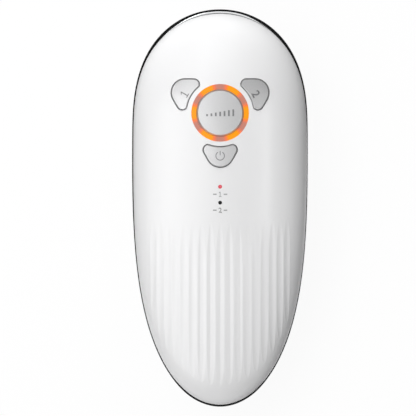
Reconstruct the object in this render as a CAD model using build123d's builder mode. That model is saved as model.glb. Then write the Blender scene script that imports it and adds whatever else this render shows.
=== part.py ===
from build123d import *
import os
from collections import namedtuple
from math import acos, atan2, cos, degrees, radians, sin, sqrt

# Facial toning device: a palm-held, egg-shaped beauty device, lying on its round treatment face.
# X runs across the body, +Y to its wide end and +Z out of the button face. The origin is at
# mid-length on the rest plane. All sizes are millimetres.

Inset = namedtuple("Inset", "head side tail")
Dome = namedtuple("Dome", "inset rim height")

# ------------------------------------------------------------------ body outline
body_width = 73.0
widest_y = 28.15  # where the body is widest, which leaves the origin at its mid-length
head_length = 54.35  # from the widest line to the tip of the wide end
tail_length = 110.65  # from the widest line to the tip of the narrow end
head_power = 2.8  # bluntness of the wide end
tail_power = 3.13  # bluntness of the narrow end
outline_steps = 6  # spline points from the widest line to a tip

# ------------------------------------------------------------------ heights above the rest plane
collar_bottom = 6.5
belly_z = 8.0
ring_bottom = 24.6
ring_top = 28.0
crown_rise = 14.0  # from the ring's top to the crown
board_bottom = 29.0

# ------------------------------------------------------------------ walls, edges and clearances
cover_wall = 2.2
dome_skirt = 1.5  # the domes' widest level lies this far past the rim, which drafts the edge
front_edge = Inset(1.85, 0.35, 0.6)  # how far the covers' edges stand in from the chrome ring
rear_edge = Inset(0.8, 0.4, 0.6)
front_room_edge = Inset(2.95, 2.95, 3.0)  # wall at the front cover's edge, thick enough for its lip
ring_depth = Inset(4.4, 2.9, 3.3)
ring_fillet = 1.5
lip_wall = 1.2
lip_drop = 1.2
lip_rise = 2.5
notch_gap = 1.0
fit_gap = 0.15
button_gap = 0.3
seat_gap = 0.1
pin_gap = 0.05

# ------------------------------------------------------------------ flutes of the grip
flute_count = 17
flute_radius = 7.0
flute_depth = 0.225  # of the middle flute, and less towards the sides, where they stand closer
flute_fan_reach = 4.5  # the flutes lie at equal steps round an arc, this far outside the body's side
flute_fan_step = 5.3  # degrees
flute_start_y = -2.0
flute_end_edge = Inset(0, 1.0, 8.0)  # the flutes run out this far in from the ring's plan
# Along a flute: how far from its start to its end, and how much of its depth it has there.
flute_stations = (
    (0.0, -0.4),
    (0.12, 0.35),
    (0.26, 0.9),
    (0.42, 1.0),
    (0.62, 1.0),
    (0.8, 1.0),
    (0.92, 0.7),
    (1.0, -0.2),
)

# ------------------------------------------------------------------ buttons
button_y = 39.2
button_travel = 0.6
center_radius = 9.65
center_proud = 0.25
center_crown_radius = 120.0
center_bevel = 0.6
cap_wall = 1.35
cap_top = 1.7
light_ring_width = 1.95
light_ring_recess = 0.15
center_hole_gap = 0.25
satellite_directions = {"right": 30, "left": 150, "power": 270}
satellite_lobe_radius = 2.25
satellite_lobe_distance = 15.25
satellite_lobe_spread = 4.75
satellite_nose_radius = 5.65
satellite_nose_distance = 16.75
satellite_dip_radius = 14.0
satellite_corner_radius = 1.0
satellite_bevel = 0.35
satellite_proud = 0.45
satellite_roof = 2.2
collar_wall = 1.3
flange_width = 0.9
flange_height = 0.8
tab_directions = (90, 210, 330)
tab_length = 4.0
tab_width = 1.2
tab_height = 0.9
stem_radius = 1.5

# ------------------------------------------------------------------ switches and main board
board_thickness = 1.6
board_inset = Inset(14.0, 8.0, 8.0)
board_tail_y = -14.0
switch_size = 6.0
switch_height = 2.0
plunger_radius = 1.6
plunger_bore_gap = 0.2
plunger_rise = 0.4
plunger_reach = 1.3
led_size = 1.6
led_height = 0.8
led_ring_radius = 11.6
# Place, side and height of each chip.
chips = (((-10.0, -7.5), 6.0, 0.9), ((3.0, -7.5), 7.0, 1.2), ((15.0, -8.0), 4.0, 1.0))
coil_places = ((-13.0, 20.0), (-13.0, 31.0))
coil_radius = 4.0
coil_height = 4.0
led_count = 6
guide_lift = 0.2
guide_thickness = 1.0
guide_radius = 13.5
guide_lobe_radius = 8.5
guide_light_radius = 1.0
guide_boss_distance = 16.0
guide_lug_radius = 3.2
small_boss_radius = 2.2
board_screw_x = 16.0
board_screw_head_gap = 22.5  # between the screws and the tip of the wide end
board_screw_side_gap = 14.5  # between the screws and the body's side
board_screw_tail_y = 2.0

# ------------------------------------------------------------------ indicators
indicator_spots = {"upper": 8.76, "lower": 2.2}
indicator_radius = 0.75
indicator_body_radius = 1.2
indicator_depth = 5.5  # of the lenses' step, under the crown
indicator_boss_radius = 2.4

# ------------------------------------------------------------------ treatment head
head_y = 24.0
head_radius = 29.0
head_wall = 2.0
collar_fillet = 1.5
head_floor_z = 4.5
head_rim_z = 2.6
head_trim_bottom = 0.8
head_trim_overhang = 0.5
head_trim_fillet = 0.6
insulator_face_z = 0.5
insulator_gap = 0.4
electrode_inner = 17.5
electrode_outer = 25.2
electrode_thickness = 2.0
electrode_spacing = 3.6
electrode_corner = 1.2
electrode_edge = 0.5
electrode_gap = 0.1
stud_circle = 21.4
stud_radius = 1.0
stud_top = 12.6
transducer_radius = 14.5
transducer_thickness = 1.5
piezo_radius = 11.0
piezo_thickness = 1.5
piezo_room = 0.6
wire_hole_radius = 4.5
gasket_inner = 25.7
gasket_outer = 27.1
gasket_height = 0.8
contact_board_radius = 24.0
contact_board_bottom = 9.4
contact_board_thickness = 1.0
contact_pad_radius = 2.4
head_boss_radius = 2.6
head_boss_top = 14.0
nut_flats_radius = 2.2
nut_height = 1.6
transducer_wire_offset = 2.0
wire_radius = 0.5
head_ribbon_width = 12.0
head_ribbon_start_y = 14.0
head_ribbon_bend_y = 27.0
head_ribbon_lift = 4.5
head_socket_y = 34.0
head_socket_length = 14.0
head_socket_width = 4.0
head_socket_height = 2.4

# ------------------------------------------------------------------ battery
cell_front_y = 14.0
cell_tail_gap = 36.5  # between the cell and the tip of the narrow end
cell_width = 30.0
cell_height = 8.0
cell_bottom = 18.5
cell_corner = 3.0
cell_edge = 2.0
pad_thickness = 0.5
pad_margin = 3.0
tray_wall = 1.2
tray_floor = 1.2
tray_gap = 0.2
tray_height = 5.2
tray_corner = 3.0
tray_ear_x = 19.0
tray_ear_step = -7.0  # from the cell's middle
tray_ear_radius = 3.0
tray_rib_steps = (-24.0, 10.0)
tray_rib_length = 24.0
tray_rib_width = 1.5
plug_length = 5.0
plug_width = 7.0
plug_height = 3.4
plug_x = 9.5
plug_y = 24.0
lead_spread = 1.5
lead_radius = 0.6
lead_exit_z = 23.4
lead_plug_z = 27.3
lead_run = 3.0

# ------------------------------------------------------------------ charging
socket_width = 8.94
socket_height = 3.2
socket_length = 7.3
socket_wall = 0.3
socket_z = 22.4
socket_mouth_gap = 3.9  # every gap of this section is measured from the tip of the narrow end
socket_recess = 1.6
socket_tongue_width = 6.7
socket_tongue_height = 0.7
socket_tongue_length = 6.0
charge_board_width = 14.0
charge_board_length = 15.0
charge_board_thickness = 1.0
charge_board_gap = 14.5
charge_boss_x = 5.0
charge_boss_gap = 19.0
ribbon_width = 5.0
ribbon_thickness = 0.4
ribbon_radius = 3.0
ribbon_over_cell = 0.6
ribbon_rise_gap = 25.5
ribbon_level_gap = 36.0
ribbon_drop_y = -16.0
ribbon_meet_y = -12.0
ribbon_end_y = -7.0

# ------------------------------------------------------------------ vibration motor
motor_gap = 22.5  # between the motor's axis and the tip of the wide end
motor_z = 19.4
motor_radius = 5.0
motor_length = 12.0
motor_center_x = -1.0
boot_wall = 1.2
boot_length = 10.0
saddle_length = 8.0
saddle_width = 14.0
shaft_radius = 0.8
shaft_length = 9.0
shaft_depth = 2.2
bearing_gap = 0.2
weight_radius = 4.5
weight_hub_radius = 1.8
weight_thickness = 4.0
weight_gap = 1.5
motor_lead_spread = 1.2
motor_lead_run = 5.0

# ------------------------------------------------------------------ fasteners
housing_head_screw_gap = (11.5, 27.5)  # to the body's side, and to the tip of the wide end
housing_tail_screw_gap = (21.5, 20.0)  # to the body's side, and to the tip of the narrow end
housing_seat_z = 19.6
housing_head_radius = 2.3
housing_head_height = 1.8
housing_shank_radius = 1.15
housing_shank_length = 10.9
head_shank_length = 8.0
housing_well_radius = 2.75
housing_post_radius = 4.0
housing_boss_radius = 3.0
plug_gap = 0.1
small_head_radius = 1.9
small_head_height = 1.2
small_shank_radius = 0.85
small_shank_length = 4.5

# ------------------------------------------------------------------ derived places
head_tip_y = widest_y + head_length
tail_tip_y = widest_y - tail_length
crown_z = ring_top + crown_rise
flute_fan_radius = body_width / 2 + flute_fan_reach
indicator_step_z = crown_z - indicator_depth
board_top = board_bottom + board_thickness
switch_top = board_top + switch_height
plunger_top = switch_top + plunger_rise
guide_bottom = plunger_top + guide_lift
guide_top = guide_bottom + guide_thickness
flange_bottom = guide_top + button_travel + 2 * seat_gap
flange_top = flange_bottom + flange_height
collar_seat = flange_top + seat_gap
light_ring_inner = center_radius + center_hole_gap
light_ring_outer = light_ring_inner + light_ring_width
tab_reach = light_ring_outer + tab_width
socket_top = socket_z + socket_height / 2
tray_bottom = cell_bottom - pad_thickness - tray_floor
cell_top = cell_bottom + cell_height
cell_length = cell_front_y - tail_tip_y - cell_tail_gap
cell_y = cell_front_y - cell_length / 2
tray_ear_y = cell_y + tray_ear_step
socket_mouth_y = tail_tip_y + socket_mouth_gap
charge_board_y = tail_tip_y + charge_board_gap
charge_boss_y = tail_tip_y + charge_boss_gap
ribbon_rise_y = tail_tip_y + ribbon_rise_gap
ribbon_level_y = tail_tip_y + ribbon_level_gap
motor_y = head_tip_y - motor_gap
board_screw_side_x = body_width / 2 - board_screw_side_gap
button_center = (0.0, button_y)
head_center = (0.0, head_y)
contact_board_top = contact_board_bottom + contact_board_thickness


def deeper(inset, step):
    """An inset moved in by the same step all round, or by another inset."""
    if isinstance(step, Inset):
        return Inset(inset.head + step.head, inset.side + step.side, inset.tail + step.tail)
    return Inset(inset.head + step, inset.side + step, inset.tail + step)


lip_outside = deeper(ring_depth, fit_gap)
lip_inside = deeper(lip_outside, lip_wall)

front_skin_dome = Dome(front_edge, ring_top, crown_rise)
front_room_dome = Dome(deeper(front_edge, front_room_edge), ring_top, crown_rise - cover_wall)
rear_skin_dome = Dome(rear_edge, ring_bottom, belly_z - ring_bottom)
rear_room_dome = Dome(deeper(rear_edge, cover_wall), ring_bottom, belly_z - ring_bottom + cover_wall)


# ------------------------------------------------------------------ the egg shape
def outline_points(inset):
    """Right half of the egg outline: half width = a * sqrt(1 - t ** power), wide end first."""
    half_width = body_width / 2 - inset.side
    head = head_length - inset.head
    tail = tail_length - inset.tail
    points = [(0.0, widest_y + head)]
    for step in range(outline_steps - 1, 0, -1):
        turn = radians(90 * step / outline_steps)
        points.append((half_width * cos(turn), widest_y + head * sin(turn) ** (2 / head_power)))
    for step in range(outline_steps):
        turn = radians(90 * step / outline_steps)
        points.append((half_width * cos(turn), widest_y - tail * sin(turn) ** (2 / tail_power)))
    points.append((0.0, widest_y - tail))
    return points


def egg_slab(inset, bottom, top):
    """The egg outline as a flat slab."""
    with BuildPart() as slab:
        with BuildSketch(Plane.XY.offset(bottom)):
            with BuildLine():
                Spline(*outline_points(inset), tangents=((1, 0), (-1, 0)), tangent_scalars=(1, 1))
                mirror(about=Plane.YZ)
            make_face()
        extrude(amount=top - bottom)
    return slab.part


def egg_body(dome):
    """An egg with elliptical sections. Its widest level lies a skirt's height past the rim."""
    up = 1 if dome.height > 0 else -1
    # The profile is drawn on the side away from the dome, which keeps the seam off the dome.
    profile = [(y, -up * x) for x, y in outline_points(dome.inset)]
    squash = (abs(dome.height) + dome_skirt) / (body_width / 2 - dome.inset.side)
    with BuildPart() as egg:
        with BuildSketch(Plane.YZ):
            with BuildLine():
                Spline(*profile, tangents=((0, -up), (0, up)), tangent_scalars=(1, 1))
                Line(profile[-1], profile[0])
            make_face()
        revolve(axis=Axis.Y)
        scale(by=(1, 1, squash))
    return egg.part.moved(Location((0, 0, dome.rim - up * dome_skirt)))


def egg_half(dome):
    """The dome's side of the egg, cut flat at the rim."""
    whole = egg_body(dome)
    keep = Keep.TOP if dome.height > 0 else Keep.BOTTOM
    with BuildPart() as half:
        add(whole)
        split(bisect_by=Plane.XY.offset(dome.rim), keep=keep)
    return half.part


def dome_point(dome, x, y, lift):
    """A point on the dome over (x, y), lifted along the normal of the dome's cross-section there."""
    length = head_length - dome.inset.head if y > widest_y else tail_length - dome.inset.tail
    power = head_power if y > widest_y else tail_power
    half_width = body_width / 2 - dome.inset.side
    height = dome.height + dome_skirt
    share = sqrt(1 - abs((y - widest_y) / length) ** power - (x / half_width) ** 2)
    normal = Vector(x / half_width**2, 0, share / height).normalized()
    return Vector(x, y, dome.rim + height * share - dome_skirt) + normal * lift


def plan_end(inset, x):
    """How far towards the narrow end the inset plan reaches at x."""
    half_width = body_width / 2 - inset.side
    reach = (1 - (x / half_width) ** 2) ** (1 / tail_power)
    return widest_y - (tail_length - inset.tail) * reach


def mirrored(x, y):
    """Two places, left and right."""
    return [(-x, y), (x, y)]


# ------------------------------------------------------------------ small helpers
def pins(places, radius, bottom, top):
    """Round pins of one size, standing at the places."""
    with BuildPart() as group:
        with BuildSketch(Plane.XY.offset(bottom)):
            with Locations(*places):
                Circle(radius)
        extrude(amount=top - bottom)
    return group.part


def blocks(places, size_x, size_y, bottom, top):
    """Plain blocks of one size, standing at the places."""
    with BuildPart() as group:
        with BuildSketch(Plane.XY.offset(bottom)):
            with Locations(*places):
                Rectangle(size_x, size_y)
        extrude(amount=top - bottom)
    return group.part


def polar(center, distance, angles):
    """Places at one distance from a centre, at the angles in degrees."""
    return [
        (center[0] + distance * cos(radians(a)), center[1] + distance * sin(radians(a)))
        for a in angles
    ]


def screws(places, seat, head, shank, up=1):
    """Like screws, the heads' undersides on the seat. Head and shank are (radius, length)."""
    with BuildPart() as group:
        with BuildSketch(Plane.XY.offset(seat)):
            with Locations(*places):
                Circle(head[0])
        extrude(amount=-up * head[1])
        with BuildSketch(Plane.XY.offset(seat)):
            with Locations(*places):
                Circle(shank[0])
        extrude(amount=up * shank[1])
    return group.part


def save(part, name):
    """Label a finished piece and write its file."""
    part.label = name
    export_step(part, f"parts/{name}.step")


def satellite_outline(direction, grow=0.0):
    """Plan of a satellite button: a rounded nose away from the ring, two lobes and a dip at it."""
    lobe_radius = satellite_lobe_radius + grow
    nose_radius = satellite_nose_radius + grow
    dip_radius = satellite_dip_radius - grow
    corner_radius = satellite_corner_radius + grow
    lobe = Vector(satellite_lobe_distance, satellite_lobe_spread)
    nose = Vector(satellite_nose_distance, 0)
    run = nose - lobe
    # Angles are in degrees: the straight flank's outward side, and the lobe's corner at the dip.
    flank = degrees(atan2(run.Y, run.X) + acos((lobe_radius - nose_radius) / run.length))
    corner = degrees(
        atan2(lobe.Y, lobe.X)
        + acos((dip_radius**2 + lobe.length**2 - lobe_radius**2) / (2 * dip_radius * lobe.length))
    )
    corner_x, corner_y = polar((0, 0), dip_radius, [corner])[0]
    lobe_end = degrees(atan2(corner_y - lobe.Y, corner_x - lobe.X))
    with BuildSketch() as outline:
        with BuildLine():
            CenterArc((0, 0), dip_radius, 0, corner)
            lobe_arc = CenterArc(lobe, lobe_radius, flank, lobe_end - flank)
            nose_arc = CenterArc(nose, nose_radius, 0, flank)
            Line(nose_arc @ 1, lobe_arc @ 0)
            mirror(about=Plane.XZ)
        make_face()
        if corner_radius > 0:
            corners = outline.vertices().filter_by(lambda v: abs(v.Y) > nose_radius / 2)
            fillet(corners.sort_by(Axis.X)[:2], corner_radius)
    return outline.sketch.rotate(Axis.Z, direction).moved(Location((0, button_y, 0)))


def satellite_slab(direction, grow, bottom, top):
    """A satellite button's outline as a slab."""
    outline = satellite_outline(direction, grow)
    with BuildPart() as slab:
        with BuildSketch(Plane.XY.offset(bottom)):
            add(outline)
        extrude(amount=top - bottom)
    return slab.part


def tab_slab(length, reach, bottom, top):
    """The light ring's three tabs, or the room for them."""
    inner = light_ring_inner + light_ring_width / 2
    with BuildPart() as slab:
        with BuildSketch(Plane.XY.offset(bottom)):
            for x, y, angle in tab_places(inner, reach):
                with Locations(Location((x, y), angle)):
                    Rectangle(reach - inner, length)
        extrude(amount=top - bottom)
    return slab.part


def tab_places(inner, outer):
    """Middles of the tabs, with their directions."""
    middle = (inner + outer) / 2
    return [(*polar(button_center, middle, [a])[0], a) for a in tab_directions]


# ------------------------------------------------------------------ shared places
satellite_centers = {
    name: polar(button_center, satellite_nose_distance, [a])[0]
    for name, a in satellite_directions.items()
}
switch_places = [button_center, *satellite_centers.values()]
guide_screw_places = polar(button_center, guide_boss_distance, tab_directions)
led_angles = [360 * k / led_count for k in range(led_count)]
led_places = polar(button_center, led_ring_radius, led_angles)
indicator_places = [(0.0, y) for y in indicator_spots.values()]
board_screw_places = [
    *mirrored(board_screw_x, head_tip_y - board_screw_head_gap),
    *mirrored(board_screw_side_x, board_screw_tail_y),
]
housing_screw_places = [
    *mirrored(body_width / 2 - housing_head_screw_gap[0], head_tip_y - housing_head_screw_gap[1]),
    *mirrored(body_width / 2 - housing_tail_screw_gap[0], tail_tip_y + housing_tail_screw_gap[1]),
]
stud_places = polar(head_center, stud_circle, (45, 135, 225, 315))
head_screw_places = polar(head_center, stud_circle, (0, 90, 180, 270))
tray_screw_places = mirrored(tray_ear_x, tray_ear_y)
charge_screw_places = mirrored(charge_boss_x, charge_boss_y)

front_egg = egg_half(front_skin_dome)
front_room_egg = egg_body(front_room_dome)
rear_egg = egg_half(rear_skin_dome)
rear_room_egg = egg_body(rear_room_dome)


# ------------------------------------------------------------------ front cover
def flute_cutter(fan_angle):
    """A round cutter run along the grip, which sinks in, holds its depth and rises again."""
    x = flute_fan_radius * sin(radians(fan_angle))
    depth = flute_depth * cos(radians(fan_angle))
    run = plan_end(flute_end_edge, x) - flute_start_y
    centers = [
        dome_point(front_skin_dome, x, flute_start_y + run * way, flute_radius - depth * part)
        for way, part in flute_stations
    ]
    with BuildPart() as cutter:
        with BuildLine() as path:
            Spline(*centers)
        with BuildSketch(Plane(origin=path.line @ 0, z_dir=(0, -1, 0))):
            Circle(flute_radius)
        sweep(normal=(0, 1, 0))
    return cutter.part


flute_cutters = [
    flute_cutter(flute_fan_step * (number - (flute_count - 1) / 2)) for number in range(flute_count)
]

# Room inside the front cover, less the collars and bosses that hang from its ceiling.
with BuildPart() as front_room:
    add(front_room_egg)
    with BuildSketch(Plane.XY.offset(collar_seat)):
        with Locations(button_center):
            Circle(light_ring_outer + collar_wall)
        for angle in satellite_directions.values():
            add(satellite_outline(angle, button_gap + collar_wall))
    extrude(amount=crown_z - collar_seat, mode=Mode.SUBTRACT)
    with BuildSketch(Plane.XY.offset(guide_top)):
        with Locations(*guide_screw_places):
            Circle(small_boss_radius)
    extrude(amount=crown_z - guide_top, mode=Mode.SUBTRACT)
    with BuildSketch(Plane.XY.offset(board_top)):
        with Locations(*board_screw_places):
            Circle(small_boss_radius)
    extrude(amount=crown_z - board_top, mode=Mode.SUBTRACT)
    with BuildSketch(Plane.XY.offset(indicator_step_z + seat_gap)):
        with Locations(*indicator_places):
            Circle(indicator_boss_radius)
    extrude(amount=crown_z - indicator_step_z, mode=Mode.SUBTRACT)
    with BuildSketch(Plane.XY.offset(ring_bottom + seat_gap)):
        with Locations(*housing_screw_places):
            Circle(housing_boss_radius)
    extrude(amount=crown_z - ring_bottom, mode=Mode.SUBTRACT)

lip_slab = egg_slab(lip_outside, ring_bottom - lip_drop, ring_top + lip_rise)
lip_room_slab = egg_slab(lip_inside, ring_bottom - lip_drop, ring_top + lip_rise)

with BuildPart() as lip:
    add(lip_slab)
    add(lip_room_slab, mode=Mode.SUBTRACT)
    # Notch over the charge socket and its board.
    with BuildSketch(Plane.XY.offset(ring_bottom - lip_drop)):
        with Locations((0, tail_tip_y)):
            Rectangle(charge_board_width + 2 * notch_gap, 2 * ring_depth.tail + 4 * lip_wall)
    extrude(amount=lip_drop + charge_board_thickness, mode=Mode.SUBTRACT)

with BuildPart() as front_cover:
    add(front_egg)
    for flute in flute_cutters:
        add(flute, mode=Mode.SUBTRACT)
    add(front_room.part, mode=Mode.SUBTRACT)
    add(lip.part)
    with BuildSketch(Plane.XY.offset(ring_bottom + seat_gap)):
        with Locations(*housing_screw_places):
            Circle(housing_boss_radius)
    extrude(amount=ring_top - ring_bottom + seat_gap)
    with BuildSketch(Plane.XY.offset(ring_bottom)):
        with Locations(*housing_screw_places):
            Circle(housing_shank_radius + pin_gap)
    extrude(amount=housing_seat_z + housing_shank_length - ring_bottom + pin_gap, mode=Mode.SUBTRACT)
    with BuildSketch(Plane.XY.offset(board_top)):
        with Locations(*board_screw_places):
            Circle(small_shank_radius + pin_gap)
    extrude(amount=small_shank_length - board_thickness + pin_gap, mode=Mode.SUBTRACT)
    with BuildSketch(Plane.XY.offset(guide_top)):
        with Locations(*guide_screw_places):
            Circle(small_shank_radius + pin_gap)
    extrude(amount=small_shank_length - guide_thickness + pin_gap, mode=Mode.SUBTRACT)
    with BuildSketch(Plane.XY.offset(collar_seat)):
        with Locations(button_center):
            Circle(light_ring_outer + pin_gap)
        for angle in satellite_directions.values():
            add(satellite_outline(angle, button_gap))
    extrude(amount=crown_z - collar_seat + seat_gap, mode=Mode.SUBTRACT)
    add(
        tab_slab(tab_length + 2 * fit_gap, tab_reach + fit_gap, collar_seat, collar_seat + tab_height),
        mode=Mode.SUBTRACT,
    )
    with BuildSketch(Plane.XY.offset(indicator_step_z)):
        with Locations(*indicator_places):
            Circle(indicator_radius + pin_gap)
    extrude(amount=crown_z - indicator_step_z, mode=Mode.SUBTRACT)
save(front_cover.part, "front_cover")

# ------------------------------------------------------------------ chrome ring round the parting line
ring_slab = egg_slab(Inset(0, 0, 0), ring_bottom, ring_top)
ring_room_slab = egg_slab(ring_depth, ring_bottom, ring_top)

with BuildPart() as chrome_trim_ring:
    add(ring_slab)
    fillet(chrome_trim_ring.edges(), ring_fillet)
    add(ring_room_slab, mode=Mode.SUBTRACT)
save(chrome_trim_ring.part, "chrome_trim_ring")

# ------------------------------------------------------------------ rear cover with the head's collar
saddle_x = motor_center_x
boot_radius = motor_radius + boot_wall

with BuildPart() as rear_room:
    add(rear_room_egg)
    with BuildSketch(Plane.XY.offset(collar_bottom + cover_wall)):
        with Locations(head_center):
            Circle(head_radius - cover_wall)
    extrude(amount=ring_bottom - collar_bottom - cover_wall)
    # Posts for the housing screws.
    with BuildSketch(Plane.XY.offset(belly_z)):
        with Locations(*housing_screw_places):
            Circle(housing_post_radius)
    extrude(amount=ring_bottom - belly_z, mode=Mode.SUBTRACT)
    # Bosses for the head screws and pads for the contact board.
    with BuildSketch(Plane.XY.offset(collar_bottom)):
        with Locations(*head_screw_places):
            Circle(head_boss_radius)
    extrude(amount=head_boss_top - collar_bottom, mode=Mode.SUBTRACT)
    with BuildSketch(Plane.XY.offset(collar_bottom)):
        with Locations(*stud_places):
            Circle(contact_pad_radius)
    extrude(amount=contact_board_bottom - collar_bottom, mode=Mode.SUBTRACT)
    # Ribs and posts under the battery tray.
    with BuildSketch(Plane.XY.offset(belly_z)):
        with Locations(*[(0, cell_y + step) for step in tray_rib_steps]):
            Rectangle(tray_rib_length, tray_rib_width)
        with Locations(*tray_screw_places):
            Circle(tray_ear_radius)
    extrude(amount=tray_bottom - belly_z, mode=Mode.SUBTRACT)
    # Posts under the charge board.
    with BuildSketch(Plane.XY.offset(belly_z)):
        with Locations(*charge_screw_places):
            Circle(small_boss_radius)
    extrude(amount=socket_top - belly_z, mode=Mode.SUBTRACT)
    # Saddle under the motor's boot.
    with BuildSketch(Plane.XY.offset(belly_z)):
        with Locations((saddle_x, motor_y)):
            Rectangle(saddle_length, saddle_width)
    extrude(amount=motor_z - belly_z, mode=Mode.SUBTRACT)

# Room for the front cover's lip, which also clears the posts beside it.
lip_groove_bottom = ring_bottom - lip_drop - fit_gap
lip_groove_slab = egg_slab(ring_depth, lip_groove_bottom, ring_bottom)
lip_groove_core_slab = egg_slab(deeper(lip_inside, fit_gap), lip_groove_bottom, ring_bottom)

with BuildPart() as lip_groove:
    add(lip_groove_slab)
    add(lip_groove_core_slab, mode=Mode.SUBTRACT)

with BuildPart() as rear_cover:
    add(rear_egg)
    with BuildSketch(Plane.XY.offset(collar_bottom)):
        with Locations(head_center):
            Circle(head_radius)
    extrude(amount=ring_bottom - collar_bottom)
    collar_faces = rear_cover.faces().filter_by(GeomType.CYLINDER)
    fillet(collar_faces.edges().filter_by(GeomType.BSPLINE), collar_fillet)
    add(rear_room.part, mode=Mode.SUBTRACT)
    add(lip_groove.part, mode=Mode.SUBTRACT)
    with BuildSketch(Plane.YZ.offset(saddle_x - saddle_length / 2)):
        with Locations((motor_y, motor_z)):
            Circle(boot_radius + pin_gap)
    extrude(amount=saddle_length, mode=Mode.SUBTRACT)
    # Wells and holes for the housing screws.
    with BuildSketch(Plane.XY.offset(belly_z)):
        with Locations(*housing_screw_places):
            Circle(housing_well_radius)
    extrude(amount=housing_seat_z - belly_z, mode=Mode.SUBTRACT)
    with BuildSketch(Plane.XY.offset(housing_seat_z)):
        with Locations(*housing_screw_places):
            Circle(housing_shank_radius + button_gap)
    extrude(amount=ring_bottom - housing_seat_z, mode=Mode.SUBTRACT)
    # Holes through the head's floor, and pilot holes in the bosses.
    with BuildSketch(Plane.XY.offset(collar_bottom)):
        with Locations(head_center):
            Circle(wire_hole_radius)
        with Locations(*stud_places):
            Circle(stud_radius + button_gap)
    extrude(amount=contact_board_bottom - collar_bottom, mode=Mode.SUBTRACT)
    with BuildSketch(Plane.XY.offset(collar_bottom)):
        with Locations(*head_screw_places):
            Circle(small_shank_radius + pin_gap)
    extrude(amount=head_boss_top - collar_bottom - 1, mode=Mode.SUBTRACT)
    with BuildSketch(Plane.XY.offset(tray_bottom)):
        with Locations(*tray_screw_places):
            Circle(small_shank_radius + pin_gap)
    extrude(amount=tray_floor - small_shank_length - pin_gap, mode=Mode.SUBTRACT)
    with BuildSketch(Plane.XY.offset(socket_top)):
        with Locations(*charge_screw_places):
            Circle(small_shank_radius + pin_gap)
    extrude(amount=charge_board_thickness - small_shank_length - pin_gap, mode=Mode.SUBTRACT)
    # Mouth of the charge socket with the recess round it.
    with BuildSketch(Plane.XZ.offset(-socket_mouth_y)):
        with Locations((0, socket_z)):
            SlotOverall(socket_width + 2 * socket_recess, socket_height + 2 * socket_recess)
    extrude(amount=tail_length, mode=Mode.SUBTRACT)
    with BuildSketch(Plane.XZ.offset(-socket_mouth_y - socket_length)):
        with Locations((0, socket_z)):
            SlotOverall(socket_width + 2 * fit_gap, socket_height + 2 * fit_gap)
    extrude(amount=tail_length, mode=Mode.SUBTRACT)
save(rear_cover.part, "rear_cover")


# ------------------------------------------------------------------ light ring and indicators
recessed_egg = egg_half(Dome(front_edge, ring_top, crown_rise - light_ring_recess))

with BuildPart() as light_ring:
    with BuildSketch(Plane.XY.offset(collar_seat)):
        with Locations(button_center):
            Circle(light_ring_outer)
            Circle(light_ring_inner, mode=Mode.SUBTRACT)
    extrude(amount=crown_z - collar_seat)
    add(recessed_egg, mode=Mode.INTERSECT)
    add(tab_slab(tab_length, tab_reach, collar_seat, collar_seat + tab_height - seat_gap))
save(light_ring.part, "light_ring")

for name, spot_y in indicator_spots.items():
    with BuildPart() as indicator_lens:
        with BuildSketch(Plane.XY.offset(board_top + led_height)):
            with Locations((0, spot_y)):
                Circle(indicator_body_radius)
        extrude(amount=indicator_step_z - board_top - led_height)
        with BuildSketch(Plane.XY.offset(indicator_step_z)):
            with Locations((0, spot_y)):
                Circle(indicator_radius)
        extrude(amount=crown_z - indicator_step_z)
        add(front_egg, mode=Mode.INTERSECT)
    save(indicator_lens.part, f"{name}_indicator_lens")

# ------------------------------------------------------------------ buttons
proud_edge = deeper(front_edge, -satellite_proud)
proud_egg = egg_half(Dome(proud_edge, ring_top, crown_rise + satellite_proud))
center_top = crown_z + center_proud
center_crown_place = Location((*button_center, center_top - center_crown_radius))

with BuildPart() as center_button:
    with BuildSketch(Plane.XY.offset(flange_bottom)):
        with Locations(button_center):
            Circle(center_radius + flange_width)
    extrude(amount=flange_height)
    with BuildSketch(Plane.XY.offset(flange_top)):
        with Locations(button_center):
            Circle(center_radius)
    extrude(amount=center_top - flange_top)
    with Locations(center_crown_place):
        Sphere(center_crown_radius, mode=Mode.INTERSECT)
    chamfer(center_button.faces().sort_by(Axis.Z)[-1].edges(), center_bevel)
    with BuildSketch(Plane.XY.offset(flange_bottom)):
        with Locations(button_center):
            Circle(center_radius - cap_wall)
    extrude(amount=center_top - cap_top - flange_bottom, mode=Mode.SUBTRACT)
    with BuildSketch(Plane.XY.offset(plunger_top)):
        with Locations(button_center):
            Circle(stem_radius)
    extrude(amount=center_top - cap_top - plunger_top)
save(center_button.part, "center_button")

for name, direction in satellite_directions.items():
    cap_slab = satellite_slab(direction, 0, flange_top, crown_z + 2 * satellite_proud)
    flange_slab = satellite_slab(direction, flange_width, flange_bottom, flange_top)
    hollow_top = flange_top + satellite_roof
    hollow_slab = satellite_slab(direction, -cap_wall, flange_bottom, hollow_top)
    with BuildPart() as satellite_button:
        add(cap_slab)
        add(proud_egg, mode=Mode.INTERSECT)
        chamfer(satellite_button.faces().sort_by(Axis.Z)[-1].edges(), satellite_bevel)
        add(flange_slab)
        add(hollow_slab, mode=Mode.SUBTRACT)
        with BuildSketch(Plane.XY.offset(plunger_top)):
            with Locations(satellite_centers[name]):
                Circle(stem_radius)
        extrude(amount=hollow_top - plunger_top)
    save(satellite_button.part, f"{name}_button")

# ------------------------------------------------------------------ switches
for name, place in zip(["center", *satellite_directions], switch_places):
    plunger_foot = plunger_top - plunger_reach - plunger_rise
    save(pins([place], plunger_radius, plunger_foot, plunger_top), f"{name}_plunger")

switch_slab = blocks(switch_places, switch_size, switch_size, board_top, switch_top)
switch_bore = pins(switch_places, plunger_radius + plunger_bore_gap, board_top, switch_top)
with BuildPart() as switch_bodies:
    add(switch_slab)
    add(switch_bore, mode=Mode.SUBTRACT)
save(switch_bodies.part, "switch_bodies")

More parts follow.
